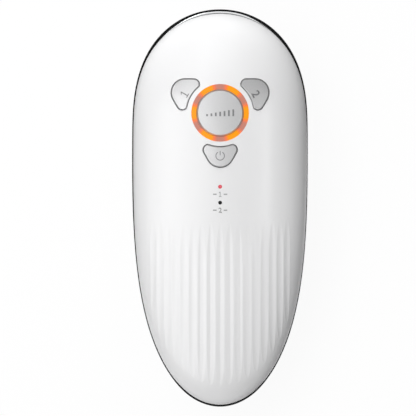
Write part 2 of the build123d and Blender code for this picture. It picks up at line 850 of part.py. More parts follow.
# ------------------------------------------------------------------ button guide under the cover
with BuildPart() as button_guide:
    with BuildSketch(Plane.XY.offset(guide_bottom)):
        with Locations(button_center):
            Circle(guide_radius)
        with Locations(*satellite_centers.values()):
            Circle(guide_lobe_radius)
        with Locations(*guide_screw_places):
            Circle(guide_lug_radius)
            Circle(small_shank_radius + pin_gap, mode=Mode.SUBTRACT)
        with Locations(*switch_places):
            Circle(stem_radius + center_hole_gap, mode=Mode.SUBTRACT)
        with Locations(*led_places):
            Circle(guide_light_radius, mode=Mode.SUBTRACT)
    extrude(amount=guide_thickness)
    # Feet that hold the light ring up by its tabs.
    foot_inner = center_radius + flange_width + button_gap
    foot_places = polar(button_center, (foot_inner + tab_reach) / 2, tab_directions)
    with BuildSketch(Plane.XY.offset(guide_top)):
        for place, angle in zip(foot_places, tab_directions):
            with Locations(Location(place, angle)):
                Rectangle(tab_reach - foot_inner, tab_length - 1)
    extrude(amount=collar_seat - guide_top)
save(button_guide.part, "button_guide")

small_head = (small_head_radius, small_head_height)
small_shank = (small_shank_radius, small_shank_length)
save(screws(guide_screw_places, guide_bottom, small_head, small_shank), "guide_screws")

# ------------------------------------------------------------------ main board
board_slab = egg_slab(board_inset, board_bottom, board_top)

with BuildPart() as main_board:
    add(board_slab)
    with BuildSketch(Plane.XY.offset(board_bottom)):
        with Locations((0, board_tail_y - tail_length / 2)):
            Rectangle(body_width, tail_length)
        with Locations(*board_screw_places):
            Circle(small_shank_radius + fit_gap)
        with Locations(*housing_screw_places):
            Circle(housing_boss_radius + button_gap)
    extrude(amount=board_thickness, mode=Mode.SUBTRACT)
save(main_board.part, "main_board")

save(screws(board_screw_places, board_bottom, small_head, small_shank), "board_screws")
save(blocks(led_places, led_size, led_size, board_top, board_top + led_height), "ring_leds")
save(blocks(indicator_places, led_size, led_size, board_top, board_top + led_height), "indicator_leds")
save(pins(coil_places, coil_radius, board_bottom - coil_height, board_bottom), "boost_coils")

with BuildPart() as board_chips:
    for place, side, height in chips:
        with BuildSketch(Plane.XY.offset(board_top)):
            with Locations(place):
                Rectangle(side, side)
        extrude(amount=height)
save(board_chips.part, "board_chips")


# ------------------------------------------------------------------ wires and ribbons
def wire(points, radius, bend):
    """A round wire along straight runs joined by arcs."""
    with BuildPart() as strand:
        with BuildLine() as route:
            FilletPolyline(*points, radius=bend)
        with BuildSketch(Plane(origin=route.line @ 0, z_dir=route.line % 0)):
            Circle(radius)
        sweep()
    return strand.part


def ribbon(points, width, bend):
    """A flat cable, its middle line drawn in the plane of symmetry."""
    with BuildPart() as band:
        with BuildSketch(Plane.YZ.offset(-width / 2)):
            with BuildLine():
                FilletPolyline(*points, radius=bend)
            trace(line_width=ribbon_thickness)
        extrude(amount=width)
    return band.part


# ------------------------------------------------------------------ battery
with BuildPart() as battery_cell:
    with BuildSketch(Plane.XY.offset(cell_bottom)):
        with Locations((0, cell_y)):
            RectangleRounded(cell_width, cell_length, cell_corner)
    extrude(amount=cell_height)
    fillet(battery_cell.faces().sort_by(Axis.Z)[0].edges(), cell_edge)
    fillet(battery_cell.faces().sort_by(Axis.Z)[-1].edges(), cell_edge)
save(battery_cell.part, "battery_cell")

tray_top_of_floor = tray_bottom + tray_floor
pad_size = (cell_width - 2 * pad_margin, cell_length - 2 * pad_margin)
save(blocks([(0, cell_y)], *pad_size, tray_top_of_floor, cell_bottom), "battery_pad")

with BuildPart() as battery_tray:
    tray_side = 2 * (tray_gap + tray_wall)
    with BuildSketch(Plane.XY.offset(tray_bottom)):
        with Locations((0, cell_y)):
            RectangleRounded(cell_width + tray_side, cell_length + tray_side, tray_corner + tray_wall)
    extrude(amount=tray_height)
    with BuildSketch(Plane.XY.offset(tray_bottom)):
        with Locations(*tray_screw_places):
            Circle(tray_ear_radius)
        with Locations((0, tray_ear_y)):
            Rectangle(2 * tray_ear_x, 2 * tray_ear_radius)
    extrude(amount=tray_floor)
    with BuildSketch(Plane.XY.offset(tray_top_of_floor)):
        with Locations((0, cell_y)):
            RectangleRounded(cell_width + 2 * tray_gap, cell_length + 2 * tray_gap, tray_corner)
    extrude(amount=tray_height, mode=Mode.SUBTRACT)
    with BuildSketch(Plane.XY.offset(tray_bottom)):
        with Locations(*tray_screw_places):
            Circle(small_shank_radius + pin_gap)
    extrude(amount=tray_floor, mode=Mode.SUBTRACT)
save(battery_tray.part, "battery_tray")
save(screws(tray_screw_places, tray_top_of_floor, small_head, small_shank, up=-1), "tray_screws")

plug_bottom = board_bottom - plug_height
save(blocks([(plug_x, plug_y)], plug_width, plug_length, plug_bottom, board_bottom), "battery_plug")

with BuildPart() as battery_leads:
    for lead_x in (plug_x - lead_spread, plug_x + lead_spread):
        plug_face_y = plug_y - plug_length / 2
        lead_points = (
            (lead_x, cell_front_y, lead_exit_z),
            (lead_x, cell_front_y + lead_run, lead_exit_z),
            (lead_x, plug_face_y - lead_run, lead_plug_z),
            (lead_x, plug_face_y, lead_plug_z),
        )
        add(wire(lead_points, lead_radius, 3 * lead_radius))
save(battery_leads.part, "battery_leads")

# ------------------------------------------------------------------ charging
charge_board_top = socket_top + charge_board_thickness
charge_board_slab = blocks(
    [(0, charge_board_y)], charge_board_width, charge_board_length, socket_top, charge_board_top
)
charge_board_holes = pins(
    charge_screw_places, small_shank_radius + fit_gap, socket_top, charge_board_top
)
with BuildPart() as charge_board:
    add(charge_board_slab)
    add(charge_board_holes, mode=Mode.SUBTRACT)
save(charge_board.part, "charge_board")
charge_screws = screws(charge_screw_places, charge_board_top, small_head, small_shank, up=-1)
save(charge_screws, "charge_board_screws")

with BuildPart() as charge_socket:
    with BuildSketch(Plane.XZ.offset(-socket_mouth_y)):
        with Locations((0, socket_z)):
            SlotOverall(socket_width, socket_height)
    extrude(amount=-socket_length)
    with BuildSketch(Plane.XZ.offset(-socket_mouth_y)):
        with Locations((0, socket_z)):
            SlotOverall(socket_width - 2 * socket_wall, socket_height - 2 * socket_wall)
    extrude(amount=socket_wall - socket_length, mode=Mode.SUBTRACT)
save(charge_socket.part, "charge_socket")

with BuildPart() as socket_tongue:
    with BuildSketch(Plane.XZ.offset(socket_wall - socket_length - socket_mouth_y)):
        with Locations((0, socket_z)):
            Rectangle(socket_tongue_width, socket_tongue_height)
    extrude(amount=socket_tongue_length)
save(socket_tongue.part, "socket_tongue")

ribbon_low = charge_board_top + ribbon_thickness / 2
ribbon_level = cell_top + ribbon_over_cell + ribbon_thickness / 2
ribbon_high = board_bottom - ribbon_thickness / 2
charge_ribbon_points = (
    (charge_board_y, ribbon_low),
    (ribbon_rise_y, ribbon_low),
    (ribbon_level_y, ribbon_level),
    (ribbon_drop_y, ribbon_level),
    (ribbon_meet_y, ribbon_high),
    (ribbon_end_y, ribbon_high),
)
save(ribbon(charge_ribbon_points, ribbon_width, ribbon_radius), "charge_ribbon")

# ------------------------------------------------------------------ treatment head
insulator_radius = head_radius - head_wall - insulator_gap


def electrode_plan(grow=0.0):
    """Plan of the four arc electrodes."""
    with BuildSketch() as plan:
        Circle(electrode_outer)
        Circle(electrode_inner, mode=Mode.SUBTRACT)
        Rectangle(electrode_spacing, 2 * head_radius, mode=Mode.SUBTRACT)
        Rectangle(2 * head_radius, electrode_spacing, mode=Mode.SUBTRACT)
        fillet(plan.vertices(), electrode_corner)
        if grow:
            offset(amount=grow)
    return plan.sketch.moved(Location((0, head_y, 0)))


electrode_outline = electrode_plan()
electrode_pocket_outline = electrode_plan(electrode_gap)

with BuildPart() as arc_electrodes:
    with BuildSketch():
        add(electrode_outline)
    extrude(amount=electrode_thickness)
    fillet(arc_electrodes.faces().filter_by(Plane.XY).group_by(Axis.Z)[0].edges(), electrode_edge)
    with BuildSketch(Plane.XY.offset(electrode_thickness)):
        with Locations(*stud_places):
            Circle(stud_radius)
    extrude(amount=stud_top - electrode_thickness)
save(arc_electrodes.part, "arc_electrodes")

with BuildPart() as transducer_plate:
    with BuildSketch():
        with Locations(head_center):
            Circle(transducer_radius)
    extrude(amount=transducer_thickness)
    fillet(transducer_plate.faces().sort_by(Axis.Z)[0].edges(), electrode_edge)
save(transducer_plate.part, "transducer_plate")

piezo_top = transducer_thickness + piezo_thickness
save(pins([head_center], piezo_radius, transducer_thickness, piezo_top), "piezo_disc")

transducer_wire_places = [(x, head_y) for x in (-transducer_wire_offset, transducer_wire_offset)]
transducer_wires = pins(transducer_wire_places, wire_radius, piezo_top, contact_board_bottom)
save(transducer_wires, "transducer_wires")

with BuildPart() as head_insulator:
    with BuildSketch(Plane.XY.offset(insulator_face_z)):
        with Locations(head_center):
            Circle(insulator_radius)
    extrude(amount=head_floor_z - insulator_face_z)
    with BuildSketch(Plane.XY.offset(insulator_face_z)):
        add(electrode_pocket_outline)
    extrude(amount=electrode_thickness - insulator_face_z, mode=Mode.SUBTRACT)
    with BuildSketch(Plane.XY.offset(insulator_face_z)):
        with Locations(head_center):
            Circle(transducer_radius + electrode_gap)
    extrude(amount=transducer_thickness - insulator_face_z, mode=Mode.SUBTRACT)
    with BuildSketch(Plane.XY.offset(transducer_thickness)):
        with Locations(head_center):
            Circle(piezo_radius + piezo_room)
        with Locations(*stud_places):
            Circle(stud_radius + fit_gap)
    extrude(amount=head_floor_z, mode=Mode.SUBTRACT)
    with BuildSketch(Plane.XY.offset(head_floor_z)):
        with Locations(*head_screw_places):
            Circle(small_head_radius + button_gap)
    extrude(amount=-small_head_height - seat_gap, mode=Mode.SUBTRACT)
save(head_insulator.part, "head_insulator")

with BuildPart() as head_housing:
    with BuildSketch(Plane.XY.offset(head_rim_z)):
        with Locations(head_center):
            Circle(head_radius)
    extrude(amount=collar_bottom - head_rim_z)
    with BuildSketch(Plane.XY.offset(head_rim_z)):
        with Locations(head_center):
            Circle(head_radius - head_wall)
    extrude(amount=head_floor_z - head_rim_z, mode=Mode.SUBTRACT)
    with BuildSketch(Plane.XY.offset(head_floor_z)):
        with Locations(head_center):
            Circle(wire_hole_radius)
        with Locations(*stud_places):
            Circle(stud_radius + button_gap)
        with Locations(*head_screw_places):
            Circle(small_shank_radius + fit_gap)
    extrude(amount=collar_bottom - head_floor_z, mode=Mode.SUBTRACT)
    with BuildSketch(Plane.XY.offset(collar_bottom)):
        with Locations(head_center):
            Circle(gasket_outer + seat_gap)
            Circle(gasket_inner - seat_gap, mode=Mode.SUBTRACT)
    extrude(amount=-gasket_height, mode=Mode.SUBTRACT)
save(head_housing.part, "head_housing")

with BuildPart() as head_gasket:
    with BuildSketch(Plane.XY.offset(collar_bottom)):
        with Locations(head_center):
            Circle(gasket_outer)
            Circle(gasket_inner, mode=Mode.SUBTRACT)
    extrude(amount=-gasket_height)
save(head_gasket.part, "head_gasket")

with BuildPart() as head_trim_ring:
    with BuildSketch(Plane.XY.offset(head_trim_bottom)):
        with Locations(head_center):
            Circle(head_radius + head_trim_overhang)
    extrude(amount=head_rim_z - head_trim_bottom)
    fillet(head_trim_ring.edges().filter_by(GeomType.CIRCLE), head_trim_fillet)
    with BuildSketch(Plane.XY.offset(head_trim_bottom)):
        with Locations(head_center):
            Circle(insulator_radius + fit_gap)
    extrude(amount=head_rim_z - head_trim_bottom, mode=Mode.SUBTRACT)
save(head_trim_ring.part, "head_trim_ring")

head_shank = (small_shank_radius, head_shank_length)
save(screws(head_screw_places, head_floor_z, small_head, head_shank), "head_screws")

with BuildPart() as contact_board:
    with BuildSketch(Plane.XY.offset(contact_board_bottom)):
        with Locations(head_center):
            Circle(contact_board_radius)
        with Locations(*stud_places):
            Circle(stud_radius + fit_gap, mode=Mode.SUBTRACT)
        with Locations(*head_screw_places):
            Circle(head_boss_radius + button_gap, mode=Mode.SUBTRACT)
    extrude(amount=contact_board_thickness)
save(contact_board.part, "contact_board")

with BuildPart() as electrode_nuts:
    with BuildSketch(Plane.XY.offset(contact_board_top)):
        with Locations(*stud_places):
            RegularPolygon(nut_flats_radius, 6, major_radius=False)
            Circle(stud_radius + pin_gap, mode=Mode.SUBTRACT)
    extrude(amount=nut_height)
save(electrode_nuts.part, "electrode_nuts")

socket_bottom = board_bottom - head_socket_height
head_socket_size = (head_socket_length, head_socket_width)
save(blocks([(0, head_socket_y)], *head_socket_size, socket_bottom, board_bottom), "head_ribbon_socket")
head_ribbon_low = contact_board_top + ribbon_thickness / 2
head_ribbon_points = (
    (head_ribbon_start_y, head_ribbon_low),
    (head_ribbon_bend_y, head_ribbon_low),
    (head_socket_y, head_ribbon_low + head_ribbon_lift),
    (head_socket_y, socket_bottom),
)
save(ribbon(head_ribbon_points, head_ribbon_width, ribbon_radius), "head_ribbon")


# ------------------------------------------------------------------ vibration motor
def lying_tube(outer, inner, start_x, length):
    """A tube or rod along X on the motor's axis."""
    with BuildPart() as tube:
        with BuildSketch(Plane.YZ.offset(start_x)):
            with Locations((motor_y, motor_z)):
                Circle(outer)
                if inner:
                    Circle(inner, mode=Mode.SUBTRACT)
        extrude(amount=length)
    return tube.part


motor_back_x = motor_center_x - motor_length / 2
motor_front_x = motor_center_x + motor_length / 2
boot_start_x = motor_center_x - boot_length / 2
bearing_depth = shaft_depth + bearing_gap
can_body = lying_tube(motor_radius, 0, motor_back_x, motor_length)
bearing_bore = lying_tube(shaft_radius + bearing_gap, 0, motor_front_x - bearing_depth, bearing_depth)

with BuildPart() as motor_can:
    add(can_body)
    add(bearing_bore, mode=Mode.SUBTRACT)
save(motor_can.part, "motor_can")
save(lying_tube(boot_radius, motor_radius + pin_gap, boot_start_x, boot_length), "motor_boot")
save(lying_tube(shaft_radius, 0, motor_front_x - shaft_depth, shaft_length), "motor_shaft")

with BuildPart() as eccentric_weight:
    with BuildSketch(Plane.YZ.offset(motor_front_x + weight_gap)):
        with Locations((motor_y, motor_z)):
            Circle(weight_radius)
        with Locations((motor_y, motor_z + weight_radius / 2)):
            Rectangle(2 * weight_radius, weight_radius, mode=Mode.SUBTRACT)
        with Locations((motor_y, motor_z)):
            Circle(weight_hub_radius)
            Circle(shaft_radius + pin_gap, mode=Mode.SUBTRACT)
    extrude(amount=weight_thickness)
save(eccentric_weight.part, "eccentric_weight")

with BuildPart() as motor_leads:
    for lead_y in (motor_y - motor_lead_spread, motor_y + motor_lead_spread):
        lead_points = (
            (motor_back_x, lead_y, motor_z),
            (motor_back_x - motor_lead_run, lead_y, motor_z),
            (motor_back_x - motor_lead_run, lead_y, board_bottom),
        )
        add(wire(lead_points, wire_radius, motor_lead_run / 2))
save(motor_leads.part, "motor_leads")

# ------------------------------------------------------------------ housing screws and their plugs
housing_head = (housing_head_radius, housing_head_height)
housing_shank = (housing_shank_radius, housing_shank_length)
save(screws(housing_screw_places, housing_seat_z, housing_head, housing_shank), "housing_screws")

plug_top = housing_seat_z - housing_head_height
plug_parts = []
for place in housing_screw_places:
    with BuildPart() as screw_plug:
        with BuildSketch(Plane.XY.offset(belly_z)):
            with Locations(place):
                Circle(housing_well_radius - plug_gap)
        extrude(amount=plug_top - belly_z)
        add(rear_egg, mode=Mode.INTERSECT)
    plug_parts.append(screw_plug.part)

with BuildPart() as screw_plugs:
    add(plug_parts)
save(screw_plugs.part, "screw_plugs")
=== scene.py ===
"""Finishes, printed marks and studio for a facial toning device lying on its treatment face."""

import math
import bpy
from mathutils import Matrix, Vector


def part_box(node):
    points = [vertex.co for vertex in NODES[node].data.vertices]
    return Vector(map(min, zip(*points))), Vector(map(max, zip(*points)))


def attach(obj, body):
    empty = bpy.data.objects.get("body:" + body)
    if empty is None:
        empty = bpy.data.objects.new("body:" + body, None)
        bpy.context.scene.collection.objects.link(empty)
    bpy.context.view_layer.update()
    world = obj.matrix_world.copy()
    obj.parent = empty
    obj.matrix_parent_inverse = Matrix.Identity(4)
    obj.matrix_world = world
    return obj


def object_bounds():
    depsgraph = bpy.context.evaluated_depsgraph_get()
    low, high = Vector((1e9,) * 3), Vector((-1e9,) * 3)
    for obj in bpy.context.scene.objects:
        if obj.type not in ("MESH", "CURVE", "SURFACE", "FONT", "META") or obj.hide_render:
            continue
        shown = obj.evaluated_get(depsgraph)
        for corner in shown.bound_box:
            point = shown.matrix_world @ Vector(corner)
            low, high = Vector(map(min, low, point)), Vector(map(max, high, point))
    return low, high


bl_info = {
    "name": "Facial Toning Device",
    "version": (1, 0, 0),
    "blender": (4, 5, 0),
    "location": "3D View > Sidebar > Toning Device",
    "description": "Dresses the packed device with its finishes, marks and studio",
    "category": "Object",
}

import bmesh
import bpy
from bpy.props import FloatProperty, FloatVectorProperty, PointerProperty
from mathutils import Matrix, Vector
from mathutils.bvhtree import BVHTree

MM = 0.001
IMAGE_SIDE = 416  # pixels
IMAGE_PIXEL = 0.41508  # mm on the trim ring's plane
WAVE_FACTOR = 20  # the wave texture's own factor on its coordinates

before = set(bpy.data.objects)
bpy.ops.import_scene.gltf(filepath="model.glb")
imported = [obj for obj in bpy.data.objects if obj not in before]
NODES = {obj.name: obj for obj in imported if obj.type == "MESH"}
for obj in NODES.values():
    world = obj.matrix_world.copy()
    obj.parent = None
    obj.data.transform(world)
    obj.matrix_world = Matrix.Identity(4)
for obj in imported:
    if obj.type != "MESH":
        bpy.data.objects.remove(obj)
CAD_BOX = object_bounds()
BUTTON_CENTER = sum(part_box("center_button"), Vector()) / 2
HEAD_CENTER = sum(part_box("head_trim_ring"), Vector()) / 2


# ------------------------------------------------------------------ settings
def color(name, description, default):
    return FloatVectorProperty(
        name=name, description=description, default=default, size=3, subtype="COLOR", min=0, max=1
    )


def number(name, description, default, top=1.0):
    return FloatProperty(name=name, description=description, default=default, min=0, max=top)


def length(name, description, default):
    return FloatProperty(
        name=name,
        description=description,
        default=default,
        min=0,
        subtype="DISTANCE",
        unit="LENGTH",
    )


class CoverSettings(bpy.types.PropertyGroup):
    """Finish of the moulded covers and the head's housing"""

    shell: color("Shell", "Colour of the gloss white covers", (0.88, 0.88, 0.885))
    shell_rough: number("Shell roughness", "How soft the covers' reflections are", 0.24)
    inner: color("Inner plastic", "Colour of the hidden moulded pieces", (0.74, 0.74, 0.72))
    plug: color("Plugs", "Colour of the rubber plugs over the screws", (0.70, 0.70, 0.70))


class MetalSettings(bpy.types.PropertyGroup):
    """Finish of the bright and satin metal pieces"""

    chrome: color("Chrome", "Colour of the polished trim", (0.86, 0.87, 0.88))
    silver: color("Buttons", "Colour of the satin silver caps", (0.68, 0.68, 0.685))
    silver_rough: number("Button roughness", "How satin the caps are", 0.42)
    electrode: color("Electrodes", "Colour of the skin contacts", (0.72, 0.71, 0.70))
    steel: color("Steel", "Colour of screws, shaft and motor can", (0.55, 0.55, 0.56))
    brass: color("Brass", "Colour of the electrode nuts", (0.72, 0.52, 0.20))


class LightSettings(bpy.types.PropertyGroup):
    """Colours of the lit pieces"""

    bright: color("Over a lamp", "Light ring right over a lamp", (1.0, 0.34, 0.0))
    middle: color("Beside a lamp", "Light ring at the edge of a lamp", (1.0, 0.20, 0.06))
    dull: color("Between lamps", "Light ring half way between lamps", (0.56, 0.22, 0.17))
    guide: color("Light guide", "Colour of the light ring's own plastic", (0.03, 0.014, 0.006))
    glow: number("Glow", "Strength of the ring's own light", 1.0, 10)
    red: color("Indicator", "Edge of the lit indicator", (0.52, 0.055, 0.075))
    pink: color("Indicator middle", "Middle of the lit indicator", (1.0, 0.36, 0.40))
    dark: color("Dark indicator", "Lens of the indicator that is off", (0.004, 0.004, 0.004))


class MarkSettings(bpy.types.PropertyGroup):
    """Printed marks"""

    ink: color("Ink", "Colour of the marks on the buttons", (0.22, 0.22, 0.225))
    caption_ink: color("Caption ink", "Colour of the captions", (0.36, 0.36, 0.365))
    number_height: length("Number height", "Height of the satellite numbers", 3.4 * MM)
    caption_height: length("Caption height", "Height of the captions' numbers", 2.1 * MM)
    dash: length("Dash", "Length of the dashes beside a caption's number", 1.5 * MM)
    dash_width: length("Dash width", "Width of the dashes", 0.46 * MM)
    dash_reach: length("Dash reach", "From a caption's number to the middle of a dash", 2.2 * MM)
    scale_width: length("Scale width", "Width of the level bars on the centre", 12.6 * MM)
    scale_height: length("Scale height", "Height of the tallest level bar", 2.8 * MM)
    symbol_radius: length("Power symbol", "Radius of the power symbol", 1.75 * MM)
    line: length("Line", "Width of the power symbol's line", 0.34 * MM)
    proud: length("Proud", "How far the ink stands on its surface", 0.03 * MM)
    sunk: length("Sunk", "How far the ink goes under its surface", 0.05 * MM)


class StageSettings(bpy.types.PropertyGroup):
    """Floor, flags, lamps and camera"""

    floor: color("Floor", "Colour of the floor", (0.35, 0.35, 0.35))
    white: number("White floor", "Share of plain white in the floor that the camera sees", 0.93)
    lamps: number("Lamps", "Share of each lamp's full power", 1.01, 10)
    lamp_distance: length("Lamp distance", "From each lamp to the device", 1.2)
    ambient: number("Ambient", "Strength of the room's light", 0.05)
    gleam_rise: number("Gleam rise", "Degrees above the floor of the lamp in the gloss", 59, 90)
    flag_gap: length("Flag gap", "From the device to the dark card round it", 14 * MM)
    flag_gap_wide: length("Wide flag gap", "The same gap beside the narrow end", 48 * MM)
    view_width: length(
        "View width", "Width of what the camera sees", IMAGE_SIDE * IMAGE_PIXEL * MM
    )
    view_distance: length("Camera distance", "From the camera to the trim ring", 2.0)
    view_x: FloatProperty(
        name="Camera side", description="Camera to the side of the middle", default=-5.0 * MM
    )


GROUPS = {
    "toning_cover": CoverSettings,
    "toning_metal": MetalSettings,
    "toning_light": LightSettings,
    "toning_mark": MarkSettings,
    "toning_stage": StageSettings,
}


# ------------------------------------------------------------------ node materials
def repeat_every(pitch):
    """The wave texture's scale at which its waves have a pitch in metres."""
    return 2 * math.pi / WAVE_FACTOR / pitch


class Finish:
    """A material under construction: its principled shader and the nodes that feed it."""

    def __init__(self, name, base, **sockets):
        self.material = bpy.data.materials.new(name)
        self.material.use_nodes = True
        self.tree = self.material.node_tree
        self.shader = self.tree.nodes["Principled BSDF"]
        self.base = (*base, 1.0)
        self.shader.inputs["Base Color"].default_value = self.base
        for socket, value in sockets.items():
            self.set(socket.replace("_", " "), value)
        self.place = self.node("ShaderNodeTexCoord").outputs["Object"]

    def set(self, socket, value):
        """Set one of the shader's own sockets."""
        self.shader.inputs[socket].default_value = value

    def node(self, kind, **values):
        """Add a node; a value goes to the attribute of its name, or else to the socket."""
        made = self.tree.nodes.new(kind)
        for key, value in values.items():
            if hasattr(made, key):
                setattr(made, key, value)
            else:
                made.inputs[key].default_value = value
        return made

    def link(self, source, target):
        self.tree.links.new(source, target)

    def noise(self, scale, detail=2.0, vector=None):
        """A noise over the object's own coordinates; its factor output."""
        made = self.node("ShaderNodeTexNoise", Scale=scale, Detail=detail)
        self.link(vector or self.place, made.inputs["Vector"])
        return made.outputs["Fac"]

    def bands(self, direction, pitch=1 * MM):
        """Even bands that follow one another in a direction; the factor output."""
        made = self.node(
            "ShaderNodeTexWave", bands_direction=direction, Scale=repeat_every(pitch)
        )
        self.link(self.place, made.inputs["Vector"])
        return made.outputs["Fac"]

    def around(self, middle, stretch=(1, 1, 1)):
        """Coordinates from a middle point, stretched."""
        move = self.node("ShaderNodeVectorMath", operation="SUBTRACT")
        move.inputs[1].default_value = middle
        self.link(self.place, move.inputs[0])
        grow = self.node("ShaderNodeVectorMath", operation="MULTIPLY")
        grow.inputs[1].default_value = stretch
        self.link(move.outputs[0], grow.inputs[0])
        return grow.outputs[0]

    def math(self, operation, *values):
        """A math node fed by sockets or numbers."""
        made = self.node("ShaderNodeMath", operation=operation)
        for slot, value in zip(made.inputs, values):
            if isinstance(value, (int, float)):
                slot.default_value = value
            else:
                self.link(value, slot)
        return made.outputs[0]

    def ramp(self, factor, *stops):
        """Colours along a factor; stops are (position, colour)."""
        made = self.node("ShaderNodeValToRGB")
        elements = made.color_ramp.elements
        while len(elements) < len(stops):
            elements.new(0.5)
        for element, (position, rgb) in zip(elements, stops):
            element.position = position
            element.color = (*rgb, 1.0)
        self.link(factor, made.inputs["Fac"])
        return made.outputs["Color"]

    def tint(self, factor, amount, spread=(0.3, 0.7)):
        """Base colour, darker by an amount where the factor is low."""
        low = [c * (1 - amount) for c in self.base[:3]]
        mixed = self.ramp(factor, (spread[0], low), (spread[1], self.base[:3]))
        self.link(mixed, self.shader.inputs["Base Color"])
        return self

    def rough(self, factor, low, high):
        """Roughness that swings between two values along a factor."""
        swing = self.node("ShaderNodeMapRange", **{"To Min": low, "To Max": high})
        self.link(factor, swing.inputs["Value"])
        self.link(swing.outputs["Result"], self.shader.inputs["Roughness"])
        return self

    def bump(self, height, depth):
        """Surface relief of a real depth in metres."""
        made = self.node("ShaderNodeBump", Distance=depth)
        self.link(height, made.inputs["Height"])
        self.link(made.outputs["Normal"], self.shader.inputs["Normal"])
        return self


def dress(made, *names):
    """Put a finish on CAD nodes."""
    for name in names:
        for place in NODES[name].material_slots:
            place.material = made.material


def plastic(name, base, rough, grain=700, depth=4e-6, tint=0.02, **sockets):
    """Moulded plastic: faint flow marks, uneven gloss and a fine orange peel."""
    swing = 0.03
    made = Finish(name, base, **sockets)
    made.tint(made.noise(35, 3), tint)
    made.rough(made.noise(90, 4), rough - swing, rough + swing)
    return made.bump(made.noise(grain, 2), depth)


def metal(name, base, rough, grain=(1, 1, 1), scale=900, swing=0.05, depth=3e-6, **sockets):
    """Metal with a grain that may be stretched to look brushed."""
    made = Finish(name, base, Metallic=1.0, **sockets)
    lines = made.noise(scale, 3, made.around((0, 0, 0), grain))
    made.tint(lines, 0.08)
    made.rough(lines, max(0.02, rough - swing), rough + swing)
    return made.bump(lines, depth)


def turned(name, base, middle, rough, pitch=0.35 * MM):
    """Metal with fine rings round a middle, as turned on a lathe."""
    made = Finish(name, base, Metallic=1.0)
    rings = made.node(
        "ShaderNodeTexWave",
        wave_type="RINGS",
        rings_direction="Z",
        Scale=repeat_every(pitch),
        Distortion=1.5,
        Detail=2.0,
    )
    made.link(made.around(middle), rings.inputs["Vector"])
    made.tint(rings.outputs["Fac"], 0.10)
    made.rough(rings.outputs["Fac"], rough - 0.05, rough + 0.07)
    return made.bump(rings.outputs["Fac"], 2e-6)


def rubber(name, base, rough=0.62):
    """Soft matt rubber with a pebbled face."""
    made = Finish(name, base)
    grain = made.noise(1400, 2)
    made.tint(grain, 0.10)
    made.rough(made.noise(200, 2), rough - 0.06, rough + 0.06)
    return made.bump(grain, 1.5e-5)


# ------------------------------------------------------------------ printed marks
def surface_of(name):
    """A node's surface, to find heights on."""
    graph = bpy.context.evaluated_depsgraph_get()
    return BVHTree.FromObject(NODES[name], graph)


def flat_piece(name, outlines):
    """A flat mesh of closed outlines, each a list of (x, y)."""
    made = bmesh.new()
    for outline in outlines:
        made.faces.new([made.verts.new((x, y, 0)) for x, y in outline])
    mesh = bpy.data.meshes.new(name)
    made.to_mesh(mesh)
    made.free()
    return bpy.data.objects.new(name, mesh)


ONE = (  # a figure one with a flag and a foot, one unit tall
    (-0.28, -0.5), (0.28, -0.5), (0.28, -0.39), (0.065, -0.39), (0.065, 0.5), (-0.05, 0.5),
    (-0.29, 0.33), (-0.23, 0.24), (-0.065, 0.35), (-0.065, -0.39), (-0.28, -0.39),
)  # fmt: skip


def number_piece(name, figure, height, weight):
    """A flat mesh of a figure, centred on the origin; the weight thickens its strokes."""
    if figure == 1:
        return flat_piece(name, [[(x * height, y * height) for x, y in ONE]])
    curve = bpy.data.curves.new(name, "FONT")
    curve.body = str(figure)
    curve.offset = weight
    curve.resolution_u = 6
    source = bpy.data.objects.new(name + "_curve", curve)
    bpy.context.scene.collection.objects.link(source)
    mesh = bpy.data.meshes.new_from_object(
        source.evaluated_get(bpy.context.evaluated_depsgraph_get())
    )
    bpy.data.objects.remove(source)
    mesh.name = name
    low = Vector([min(v.co[axis] for v in mesh.vertices) for axis in range(3)])
    high = Vector([max(v.co[axis] for v in mesh.vertices) for axis in range(3)])
    size = height / (high.y - low.y)
    mesh.transform(Matrix.Scale(size, 4) @ Matrix.Translation((low + high) / -2))
    return bpy.data.objects.new(name, mesh)


def bar(left, bottom, right, top):
    """Outline of an upright bar."""
    return [(left, bottom), (right, bottom), (right, top), (left, top)]


def band(radius, width, start, end, steps=40):
    """Outline of a curved band, angles in degrees."""
    angles = [math.radians(start + (end - start) * k / steps) for k in range(steps + 1)]

    def arc(reach):
        return [(math.cos(a) * reach, math.sin(a) * reach) for a in angles]

    return arc(radius + width / 2) + arc(radius - width / 2)[::-1]


